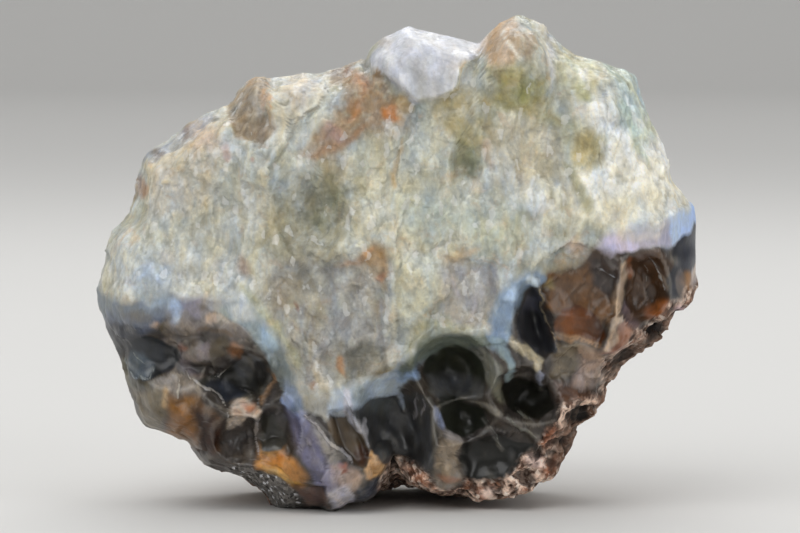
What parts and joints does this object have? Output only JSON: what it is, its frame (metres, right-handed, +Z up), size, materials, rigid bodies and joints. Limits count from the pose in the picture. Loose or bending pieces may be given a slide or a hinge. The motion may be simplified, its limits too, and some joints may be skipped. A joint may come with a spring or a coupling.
{
  "type": "broken agate lump",
  "caption": "Broken lump of agate: cloudy quartz above a pale band and dark, shell-fractured chalcedony, with a porous brown rind. It stands on hidden flat feet.",
  "frame": {"origin": "middle of the bounding box's underside, on the surface the stone stands on", "axes": "-Y out of the broken face, +X to the right seen from in front of it, +Z up"},
  "size_m": [0.1204, 0.064, 0.0985],
  "materials": {
    "agate": "cloudy quartz above, pale blue band, dark translucent chalcedony with glossy fractures below, matt porous rind"
  },
  "bodies": {
    "root": {"agate": "agate"}
  },
  "joints": []
}
